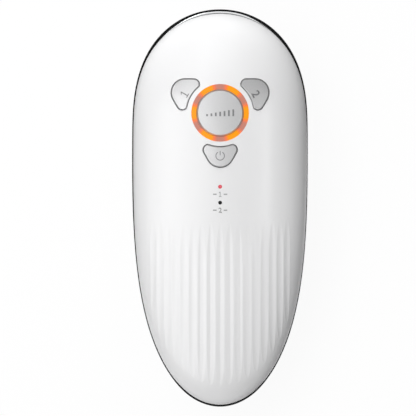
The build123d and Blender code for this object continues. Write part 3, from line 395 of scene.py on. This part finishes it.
def print_on(piece, node, body, middle, turn, ink):
    """Lay a flat piece on a node's top as a thin layer of ink, and let it ride with the body."""
    settings = bpy.context.scene.toning_mark
    surface = surface_of(node)
    mesh = piece.data
    spin = Matrix.Rotation(math.radians(turn), 4, "Z")
    mesh.transform(Matrix.Translation((*middle, 0)) @ spin)
    work = bmesh.new()
    work.from_mesh(mesh)
    bmesh.ops.remove_doubles(work, verts=work.verts, dist=0.001 * MM)
    bmesh.ops.triangulate(work, faces=work.faces)
    bmesh.ops.recalc_face_normals(work, faces=work.faces)
    if sum(f.normal.z for f in work.faces) < 0:
        bmesh.ops.reverse_faces(work, faces=work.faces)
    for vert in work.verts:
        hit = surface.ray_cast(Vector((vert.co.x, vert.co.y, 1)), Vector((0, 0, -1)))[0]
        if hit is None:
            raise RuntimeError(f"{piece.name} reaches past {node}")
        vert.co.z = hit.z + settings.proud
    rim = [edge for edge in work.edges if edge.is_boundary]
    under = bmesh.ops.duplicate(work, geom=work.verts[:] + work.edges[:] + work.faces[:])
    for new in under["geom"]:
        if isinstance(new, bmesh.types.BMVert):
            new.co.z -= settings.proud + settings.sunk
    lower = under["vert_map"]
    flipped = [new for new in under["geom"] if isinstance(new, bmesh.types.BMFace)]
    bmesh.ops.reverse_faces(work, faces=flipped)
    for edge in rim:
        first, second = edge.verts
        work.faces.new((first, second, lower[second], lower[first]))
    bmesh.ops.recalc_face_normals(work, faces=work.faces)
    work.to_mesh(mesh)
    work.free()
    bpy.context.scene.collection.objects.link(piece)
    mesh.materials.append(ink.material)
    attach(piece, body)


# ------------------------------------------------------------------ operators: what shows
class ToningOperator(bpy.types.Operator):
    """Shared by the device's operators"""

    bl_options = {"REGISTER", "UNDO"}


class TONING_OT_covers(ToningOperator):
    """Gloss white plastic on the front and rear covers and the head's housing"""

    bl_idname = "toning.covers"
    bl_label = "Covers"

    def execute(self, context):
        settings = context.scene.toning_cover
        shell = plastic("gloss_white", settings.shell, settings.shell_rough, tint=0.012)
        dress(shell, "front_cover", "rear_cover", "head_housing")
        return {"FINISHED"}


class TONING_OT_trim(ToningOperator):
    """Polished chrome on the trim rings"""

    bl_idname = "toning.trim"
    bl_label = "Chrome Trim"

    def execute(self, context):
        settings = context.scene.toning_metal
        chrome = metal(
            "polished_chrome", settings.chrome, 0.07, scale=300, swing=0.03, depth=1e-6
        )
        dress(chrome, "chrome_trim_ring", "head_trim_ring")
        return {"FINISHED"}


class TONING_OT_buttons(ToningOperator):
    """Satin silver on the four button caps"""

    bl_idname = "toning.buttons"
    bl_label = "Buttons"

    def execute(self, context):
        settings = context.scene.toning_metal
        silver = Finish("satin_silver", settings.silver, Metallic=0.8)
        flake = silver.noise(6000, 2)
        silver.tint(flake, 0.10)
        rough, swing = settings.silver_rough, 0.04
        silver.rough(silver.noise(400, 3), rough - swing, rough + swing)
        silver.bump(flake, 4e-6)
        dress(silver, "center_button", "left_button", "right_button", "power_button")
        return {"FINISHED"}


class TONING_OT_light_ring(ToningOperator):
    """The amber light ring, brightest over its six lamps"""

    bl_idname = "toning.light_ring"
    bl_label = "Light Ring"
    lamps = 6

    def execute(self, context):
        settings = context.scene.toning_light
        lit = Finish("amber_light_guide", settings.guide, Roughness=0.4, Specular_IOR_Level=0.25)
        split = lit.node("ShaderNodeSeparateXYZ")
        lit.link(lit.around(BUTTON_CENTER), split.inputs[0])
        angle = lit.math("ARCTAN2", split.outputs["Y"], split.outputs["X"])
        wave = lit.math("COSINE", lit.math("MULTIPLY", angle, self.lamps))
        along = lit.math("MULTIPLY_ADD", wave, 0.5, 0.5)
        along = lit.math("ADD", along, lit.math("MULTIPLY", lit.noise(500), 0.04))
        glow = lit.ramp(
            along, (0.12, settings.dull), (0.46, settings.middle), (0.72, settings.bright)
        )
        lit.link(glow, lit.shader.inputs["Emission Color"])
        lit.set("Emission Strength", settings.glow)
        lit.tint(along, 0.5, (0.0, 1.0))
        dress(lit, "light_ring")
        return {"FINISHED"}


class TONING_OT_indicators(ToningOperator):
    """The two indicator lenses, the upper one lit"""

    bl_idname = "toning.indicators"
    bl_label = "Indicators"
    lens_radius = 0.75 * MM

    def execute(self, context):
        settings = context.scene.toning_light
        lit = Finish("lit_red_lens", settings.red, Roughness=0.2)
        middle = sum(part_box("upper_indicator_lens"), Vector()) / 2
        distance = lit.node("ShaderNodeVectorMath", operation="LENGTH")
        lit.link(lit.around(middle, (1, 1, 0)), distance.inputs[0])
        edge = lit.math("MULTIPLY", distance.outputs["Value"], 1 / self.lens_radius)
        glow = lit.ramp(edge, (0.1, settings.pink), (0.5, settings.red))
        lit.link(glow, lit.shader.inputs["Emission Color"])
        lit.set("Emission Strength", 0.4)
        dress(lit, "upper_indicator_lens")
        dark = plastic("dark_lens", settings.dark, 0.22, tint=0.3)
        dress(dark, "lower_indicator_lens")
        return {"FINISHED"}


class TONING_OT_marks(ToningOperator):
    """Plain numbers, level bars and the power symbol printed on the buttons and the cover"""

    bl_idname = "toning.marks"
    bl_label = "Marks"
    number_shift = 0.4 * MM  # out from the middle of a satellite button
    caption_drop = 3.1 * MM  # from an indicator down to its caption
    level_bars = 7
    symbol_gap = 64  # degrees, at the power symbol's top

    def execute(self, context):
        settings = context.scene.toning_mark
        ink = plastic("mark_ink", settings.ink, 0.5, tint=0.06)
        caption_ink = plastic("caption_ink", settings.caption_ink, 0.5, tint=0.06)
        self.print_numbers(settings, ink)
        self.print_captions(settings, caption_ink)
        self.print_levels(settings, ink)
        self.print_power(settings, ink)
        return {"FINISHED"}

    def print_numbers(self, settings, ink):
        """1 and 2 on the upper satellites, turned to face the centre button."""
        for side, figure, turn in (("left", 1, 60), ("right", 2, -60)):
            button = f"{side}_button"
            low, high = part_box(button)
            middle = (low + high).xy / 2
            middle += (middle - BUTTON_CENTER.xy).normalized() * self.number_shift
            piece = number_piece(f"{side}_button_mark", figure, settings.number_height, 0.015)
            print_on(piece, button, f"{button}_body", middle, turn, ink)

    def print_captions(self, settings, ink):
        """A number between two dashes under each indicator."""
        reach, half = settings.dash_reach, Vector((settings.dash, settings.dash_width)) / 2
        for step, node in enumerate(("upper_indicator_lens", "lower_indicator_lens"), 1):
            middle = (sum(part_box(node), Vector()) / 2).xy
            middle.y -= self.caption_drop
            caption = number_piece(
                f"indicator_caption_{step}", step, settings.caption_height, 0.02
            )
            outlines = [
                bar(side * reach - half.x, -half.y, side * reach + half.x, half.y)
                for side in (-1, 1)
            ]
            dashes = flat_piece(f"indicator_dashes_{step}", outlines)
            for piece in (caption, dashes):
                print_on(piece, "front_cover", "housing", middle, 0, ink)

    def print_levels(self, settings, ink):
        """Rising level bars on the centre button."""
        width, height, count = settings.scale_width, settings.scale_height, self.level_bars
        pitch = width / count
        bars = []
        for step in range(count):
            left = -width / 2 + pitch * (step + 0.3)
            top = height * (0.3 + 0.7 * step / (count - 1))
            bars.append(bar(left, -height / 2, left + pitch * 0.4, top - height / 2))
        piece = flat_piece("center_button_mark", bars)
        middle = BUTTON_CENTER.xy
        print_on(piece, "center_button", "center_button_body", middle, 0, ink)

    def print_power(self, settings, ink):
        """The power symbol: an open ring with a bar in its gap."""
        radius, line, half = settings.symbol_radius, settings.line, self.symbol_gap / 2
        symbol = [
            band(radius, line, 90 + half, 450 - half),
            bar(-line / 2, 0.15 * radius, line / 2, 1.15 * radius),
        ]
        low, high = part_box("power_button")
        middle = (low + high).xy / 2
        piece = flat_piece("power_button_mark", symbol)
        print_on(piece, "power_button", "power_button_body", middle, 0, ink)


class TONING_OT_head(ToningOperator):
    """The treatment head: electrodes, transducer, insulator and what sits behind them"""

    bl_idname = "toning.head"
    bl_label = "Treatment Head"

    def execute(self, context):
        settings = context.scene.toning_metal
        dress(
            turned("polished_electrode", settings.electrode, HEAD_CENTER, 0.16),
            "arc_electrodes",
            "transducer_plate",
        )
        dress(plastic("grey_insulator", (0.30, 0.30, 0.31), 0.42), "head_insulator")
        dress(rubber("seal_rubber", (0.05, 0.05, 0.05)), "head_gasket")
        dress(plastic("fired_ceramic", (0.62, 0.58, 0.50), 0.5, depth=8e-6), "piezo_disc")
        dress(metal("nut_brass", settings.brass, 0.28), "electrode_nuts")
        return {"FINISHED"}


class TONING_OT_charging(ToningOperator):
    """The charging socket and its tongue"""

    bl_idname = "toning.charging"
    bl_label = "Charging Socket"

    def execute(self, context):
        shell = metal("socket_shell", context.scene.toning_metal.steel, 0.25, (8, 1, 8))
        dress(shell, "charge_socket")
        black, gilt = (0.02, 0.02, 0.022), (0.66, 0.48, 0.2)
        tongue = Finish("socket_tongue", black, Roughness=0.4)
        contacts = tongue.ramp(tongue.bands("X"), (0.55, black), (0.6, gilt))
        tongue.link(contacts, tongue.shader.inputs["Base Color"])
        dress(tongue, "socket_tongue")
        return {"FINISHED"}


# ------------------------------------------------------------------ operators: what is inside
def circuit(name, base):
    """A solder mask over copper tracks that turn from patch to patch, with tinned pads."""
    tin, copper_shine = (0.62, 0.60, 0.56, 1), 1.7
    made = Finish(name, base, Roughness=0.35)
    patches = made.node("ShaderNodeTexVoronoi", distance="CHEBYCHEV", Scale=1 / (5 * MM))
    made.link(made.place, patches.inputs["Vector"])
    split = made.node("ShaderNodeSeparateColor")
    made.link(patches.outputs["Color"], split.inputs[0])
    upright = made.math("GREATER_THAN", split.outputs[0], 0.5)
    across, along = (made.math("GREATER_THAN", made.bands(way), 0.72) for way in "XY")
    across = made.math("MULTIPLY", across, upright)
    along = made.math("MULTIPLY", along, made.math("SUBTRACT", 1.0, upright))
    tracks = made.math("ADD", across, along)
    dots = made.node("ShaderNodeTexVoronoi", Scale=1 / (2.6 * MM), Randomness=0.75)
    made.link(made.place, dots.inputs["Vector"])
    pads = made.math("LESS_THAN", dots.outputs["Distance"], 0.17)
    light = [min(1, c * copper_shine) for c in base]
    greens = made.ramp(tracks, (0.3, base), (0.7, light))
    mixed = made.node("ShaderNodeMix", data_type="RGBA")
    mixed.inputs[7].default_value = tin  # the second colour; 0 is the factor, 6 the first colour
    made.link(pads, mixed.inputs[0])
    made.link(greens, mixed.inputs[6])
    made.link(mixed.outputs[2], made.shader.inputs["Base Color"])
    made.link(pads, made.shader.inputs["Metallic"])
    made.rough(made.noise(300), 0.3, 0.42)
    return made.bump(made.math("ADD", tracks, pads), 1.2e-5)


class TONING_OT_boards(ToningOperator):
    """Circuit boards with their chips, lamps and coils"""

    bl_idname = "toning.boards"
    bl_label = "Boards"

    def execute(self, context):
        mask = circuit("solder_mask", (0.012, 0.11, 0.045))
        dress(mask, "main_board", "charge_board", "contact_board")
        chip = plastic("chip_package", (0.02, 0.02, 0.022), 0.45, grain=2500, depth=8e-6)
        dress(chip, "board_chips")
        lamp = plastic("lamp_package", (0.80, 0.79, 0.70), 0.3)
        lamp.set("Emission Color", (1.0, 0.45, 0.1, 1.0))
        lamp.set("Emission Strength", 0.4)
        dress(lamp, "ring_leds", "indicator_leds")
        coil = metal("wound_copper", (0.72, 0.34, 0.16), 0.3, (1, 1, 14), scale=600, depth=2e-5)
        dress(coil, "boost_coils")
        ribbon = Finish("amber_ribbon", (0.62, 0.30, 0.05), Roughness=0.3)
        tracks = ribbon.bands("X")
        ribbon.tint(tracks, 0.35, (0.45, 0.55))
        ribbon.bump(tracks, 1e-5)
        dress(ribbon, "charge_ribbon", "head_ribbon")
        return {"FINISHED"}


class TONING_OT_switches(ToningOperator):
    """Switches, their plungers and the moulded button guide"""

    bl_idname = "toning.switches"
    bl_label = "Switches"

    def execute(self, context):
        settings = context.scene.toning_cover
        dark = plastic("switch_plastic", (0.025, 0.025, 0.027), 0.5, tint=0.2)
        dress(dark, "center_plunger", "left_plunger", "right_plunger", "power_plunger")
        dress(dark, "switch_bodies")
        inner = plastic("inner_plastic", settings.inner, 0.5, grain=1500, depth=1e-5)
        dress(inner, "button_guide", "battery_tray", "battery_plug", "head_ribbon_socket")
        return {"FINISHED"}


class TONING_OT_battery(ToningOperator):
    """The pouch cell with its pad, and the wires"""

    bl_idname = "toning.battery"
    bl_label = "Battery and Wires"

    def execute(self, context):
        foil = metal("cell_foil", (0.70, 0.71, 0.73), 0.3, scale=140, swing=0.08, depth=4e-5)
        dress(foil, "battery_cell")
        dress(rubber("foam_pad", (0.10, 0.10, 0.11), 0.85), "battery_pad")
        wires = plastic("wire_insulation", (0.55, 0.02, 0.015), 0.4)
        dress(wires, "battery_leads", "motor_leads", "transducer_wires")
        return {"FINISHED"}


class TONING_OT_motor(ToningOperator):
    """The vibration motor with its boot, shaft and weight"""

    bl_idname = "toning.motor"
    bl_label = "Motor"

    def execute(self, context):
        settings = context.scene.toning_metal
        steel = metal("drawn_steel", settings.steel, 0.26, (1, 10, 10), scale=700)
        dress(steel, "motor_can", "motor_shaft", "eccentric_weight")
        dress(rubber("boot_rubber", (0.045, 0.045, 0.045)), "motor_boot")
        return {"FINISHED"}


class TONING_OT_fasteners(ToningOperator):
    """Screws, and the rubber plugs over the housing screws"""

    bl_idname = "toning.fasteners"
    bl_label = "Fasteners"

    def execute(self, context):
        screw = metal("screw_steel", context.scene.toning_metal.steel, 0.3)
        dress(
            screw,
            "guide_screws",
            "board_screws",
            "tray_screws",
            "charge_board_screws",
            "head_screws",
            "housing_screws",
        )
        dress(rubber("plug_rubber", context.scene.toning_cover.plug, 0.5), "screw_plugs")
        return {"FINISHED"}


# ------------------------------------------------------------------ operators: studio
STRIP = (0.4, 2.6)  # a long lamp in line with the device, in metres
PANEL = (0.7, 0.5)  # a lamp before one of its ends
GLEAM = (0.07, 0.3)  # the small lamp that only the gloss shows
GLEAM_POWER = 0.5  # watts
LAMPS = (  # name, degrees round from the head end, degrees above the floor, size, watts
    ("lamp_left_low", -90, 35, STRIP, 2.7),
    ("lamp_left", -90, 55, STRIP, 6.8),
    ("lamp_left_high", -90, 72, STRIP, 3.9),
    ("lamp_head_low", 0, 15, PANEL, 5.4),
    ("lamp_head_right", 22, 26, PANEL, 3.2),
    ("lamp_head_left", -35, 60, PANEL, 3.4),
    ("lamp_tail", 172, 12, PANEL, 3.8),
)
FLAG_RADIUS = 0.30
FLAG_STEP = 3  # degrees
NEAR, WIDE = 0, 1  # the card's two gaps to the device
FLAG_STATIONS = (  # degrees round from the right side, gap, height of the wall
    (-90, NEAR, 0.34), (-66, NEAR, 0.24), (-42, WIDE, 0.13), (-6, WIDE, 0.13),
    (36, NEAR, 0.60), (60, NEAR, 0.60), (78, NEAR, 0.24), (102, NEAR, 0.24),
    (120, NEAR, 0.60), (144, NEAR, 0.60), (174, NEAR, 0.14), (222, WIDE, 0.13),
    (246, NEAR, 0.24), (270, NEAR, 0.34),
)  # fmt: skip
FLAG_OVER_RIGHT = ((0.0, -0.5), (0.32, -0.5), (0.32, 0.4), (0.0, 0.1))  # seen from above
FLAG_OVER_HEAD = (-0.08, 0.10, 0.08, 0.20)  # left, bottom, right, top
FLAG_OVER_HEIGHTS = (1.0, 0.98)
FLAG_COLOR = (0.004, 0.004, 0.004)
SENSOR_WIDTH = 36.0
VIEW_END = 100.0
FLOOR_REACH = 4.0
FLOOR_DROP = 0.1 * MM
WHITE = (1, 1, 1, 1)


def area_lamp(name, side, rise, size, power, target):
    """A rectangular lamp that faces the target.

    The side is an angle round from the head end, the rise an angle above the floor. The size is
    first across the device and then in line with it.
    """
    settings = bpy.context.scene.toning_stage
    side, rise = math.radians(side), math.radians(rise)
    level = math.cos(rise)
    facing = Vector((math.sin(side) * level, math.cos(side) * level, math.sin(rise)))
    data = bpy.data.lights.new(name, "AREA")
    data.shape = "RECTANGLE"
    data.size, data.size_y = size
    data.energy = power * settings.lamps
    lamp = bpy.data.objects.new(name, data)
    bpy.context.scene.collection.objects.link(lamp)
    across = Vector((0, 1, 0)).cross(facing).normalized()
    turn = Matrix((across, facing.cross(across), facing)).transposed().to_4x4()
    lamp.matrix_world = Matrix.Translation(target + facing * settings.lamp_distance) @ turn
    lamp.visible_camera = False
    return lamp


def white_where_seen(tree, plain, seen):
    """Mix two shaders: one for what the camera, mirrors and glass see, one for all other light."""
    path = tree.nodes.new("ShaderNodeLightPath")
    rays = path.outputs["Is Camera Ray"]
    for other in ("Is Glossy Ray", "Is Transmission Ray"):
        either = tree.nodes.new("ShaderNodeMath")
        either.operation = "MAXIMUM"
        tree.links.new(rays, either.inputs[0])
        tree.links.new(path.outputs[other], either.inputs[1])
        rays = either.outputs[0]
    mix = tree.nodes.new("ShaderNodeMixShader")
    tree.links.new(rays, mix.inputs[0])
    tree.links.new(plain, mix.inputs[1])
    tree.links.new(seen, mix.inputs[2])
    return mix.outputs[0]


def reflected_only(card, material):
    """Hang a card that shows only in the device's reflections."""
    bpy.context.scene.collection.objects.link(card)
    card.data.materials.append(material)
    card.visible_camera = False
    card.visible_diffuse = False
    card.visible_shadow = False
    card.visible_transmission = False


def flag_round(name, gaps, material):
    """A dark card round the device: a low collar on the floor and a wall of varied height."""
    level = 1 * MM
    half = CAD_BOX[1].xy
    work = bmesh.new()
    rows = []
    for angle in range(FLAG_STATIONS[0][0], FLAG_STATIONS[-1][0] + 1, FLAG_STEP):
        pairs = zip(FLAG_STATIONS, FLAG_STATIONS[1:])
        low, high = next(pair for pair in pairs if angle <= pair[1][0])
        ease = (angle - low[0]) / (high[0] - low[0])
        ease = ease * ease * (3 - 2 * ease)
        gap = gaps[low[1]] + (gaps[high[1]] - gaps[low[1]]) * ease
        height = low[2] + (high[2] - low[2]) * ease
        turn = math.radians(angle)
        ways = Vector((math.cos(turn), math.sin(turn)))
        far = ways * FLAG_RADIUS
        places = (
            (ways.x * (half.x + gap), ways.y * (half.y + gap), level),
            (*far, level),
            (*far, height),
        )
        rows.append([work.verts.new(place) for place in places])
    for first, second in zip(rows, rows[1:]):
        for k in range(2):
            work.faces.new((first[k], first[k + 1], second[k + 1], second[k]))
    mesh = bpy.data.meshes.new(name)
    work.to_mesh(mesh)
    work.free()
    reflected_only(bpy.data.objects.new(name, mesh), material)


def flag_over(name, outline, height, material):
    """A level card high over the device."""
    card = flat_piece(name, [outline])
    card.location.z = height
    reflected_only(card, material)


class TONING_OT_stage(ToningOperator):
    """Camera, floor, flags, lamps and world"""

    bl_idname = "toning.stage"
    bl_label = "Studio"

    def execute(self, context):
        scene = context.scene
        settings = scene.toning_stage
        self.set_camera(scene, settings)
        self.lay_floor(scene, settings)
        self.paint_room(scene, settings)
        self.hang_flags(settings)
        self.hang_lamps(settings)
        scene.view_settings.view_transform = "Standard"
        return {"FINISHED"}

    def set_camera(self, scene, settings):
        """The camera straight above the button face, its width given at the trim ring."""
        ring_low, ring_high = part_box("chrome_trim_ring")
        ring_level = (ring_low.z + ring_high.z) / 2
        data = bpy.data.cameras.new("camera")
        data.sensor_width = SENSOR_WIDTH
        data.lens = data.sensor_width * settings.view_distance / settings.view_width
        data.clip_end = VIEW_END
        camera = bpy.data.objects.new("camera", data)
        scene.collection.objects.link(camera)
        camera.location = (settings.view_x, 0, ring_level + settings.view_distance)
        scene.camera = camera

    def lay_floor(self, scene, settings):
        """A wide paper floor, nearly white where it is seen and greyer to the light it returns."""
        work = bmesh.new()
        bmesh.ops.create_grid(work, x_segments=8, y_segments=8, size=FLOOR_REACH)
        mesh = bpy.data.meshes.new("floor")
        work.to_mesh(mesh)
        work.free()
        floor = bpy.data.objects.new("floor", mesh)
        scene.collection.objects.link(floor)
        floor.location.z = -FLOOR_DROP
        paper = Finish("floor_paper", settings.floor, Roughness=0.9)
        paper.bump(paper.noise(800), 1e-5)
        tree = paper.tree
        seen_paper = paper.node("ShaderNodeBsdfDiffuse", Color=WHITE)
        plain_white = paper.node("ShaderNodeEmission")
        seen = paper.node("ShaderNodeMixShader", Fac=settings.white)
        tree.links.new(seen_paper.outputs[0], seen.inputs[1])
        tree.links.new(plain_white.outputs[0], seen.inputs[2])
        mixed = white_where_seen(tree, paper.shader.outputs[0], seen.outputs[0])
        tree.links.new(mixed, tree.nodes["Material Output"].inputs["Surface"])
        mesh.materials.append(paper.material)

    def paint_room(self, scene, settings):
        """A white room that lights the device only a little."""
        world = bpy.data.worlds.new("room")
        scene.world = world
        world.use_nodes = True
        tree = world.node_tree
        room = tree.nodes["Background"]
        room.inputs["Color"].default_value = WHITE
        room.inputs["Strength"].default_value = settings.ambient
        backdrop = tree.nodes.new("ShaderNodeBackground")
        backdrop.inputs["Color"].default_value = WHITE
        mixed = white_where_seen(tree, room.outputs[0], backdrop.outputs[0])
        tree.links.new(mixed, tree.nodes["World Output"].inputs["Surface"])

    def hang_flags(self, settings):
        """Dark cards that give the chrome its black lines and the caps their shade."""
        right, head = FLAG_OVER_HEIGHTS
        black = Finish("flag_cloth", FLAG_COLOR, Roughness=1.0)
        black.bump(black.noise(500), 1e-4)
        flag_round("flag_round", (settings.flag_gap, settings.flag_gap_wide), black.material)
        grey = Finish("flag_net", FLAG_COLOR, Roughness=1.0)
        grey.bump(grey.noise(500), 1e-4)
        grey.set("Emission Color", WHITE)
        grey.set("Emission Strength", 0.3)
        flag_over("flag_over_right", FLAG_OVER_RIGHT, right, black.material)
        flag_over("flag_over_head", bar(*FLAG_OVER_HEAD), head, grey.material)

    def hang_lamps(self, settings):
        """Soft lamps; only the strips and the gleam show in reflections."""
        middle = (CAD_BOX[0] + CAD_BOX[1]) / 2
        for name, side, rise, size, power in LAMPS:
            lamp = area_lamp(name, side, rise, size, power, middle)
            lamp.visible_glossy = size == STRIP
        gleam = area_lamp("lamp_gleam", 90, settings.gleam_rise, GLEAM, GLEAM_POWER, middle)
        gleam.visible_diffuse = False


OPERATORS = (
    TONING_OT_stage,
    TONING_OT_covers,
    TONING_OT_trim,
    TONING_OT_buttons,
    TONING_OT_light_ring,
    TONING_OT_indicators,
    TONING_OT_marks,
    TONING_OT_head,
    TONING_OT_charging,
    TONING_OT_boards,
    TONING_OT_switches,
    TONING_OT_battery,
    TONING_OT_motor,
    TONING_OT_fasteners,
)


class TONING_PT_panel(bpy.types.Panel):
    """Settings and steps of the device"""

    bl_idname = "TONING_PT_panel"
    bl_label = "Facial Toning Device"
    bl_space_type = "VIEW_3D"
    bl_region_type = "UI"
    bl_category = "Toning Device"

    def draw(self, context):
        column = self.layout.column()
        for name, group in GROUPS.items():
            box = column.box()
            box.label(text=group.__doc__)
            for prop in group.__annotations__:
                box.prop(getattr(context.scene, name), prop)
        for operator in OPERATORS:
            column.operator(operator.bl_idname)


def register():
    for group in GROUPS.values():
        bpy.utils.register_class(group)
    for name, group in GROUPS.items():
        setattr(bpy.types.Scene, name, PointerProperty(type=group))
    for operator in OPERATORS:
        bpy.utils.register_class(operator)
    bpy.utils.register_class(TONING_PT_panel)


def unregister():
    bpy.utils.unregister_class(TONING_PT_panel)
    for operator in reversed(OPERATORS):
        bpy.utils.unregister_class(operator)
    for name, group in GROUPS.items():
        delattr(bpy.types.Scene, name)
        bpy.utils.unregister_class(group)


def main():
    register()
    for operator in OPERATORS:
        group, name = operator.bl_idname.split(".")
        getattr(getattr(bpy.ops, group), name)()


if __name__ == "__main__":
    main()
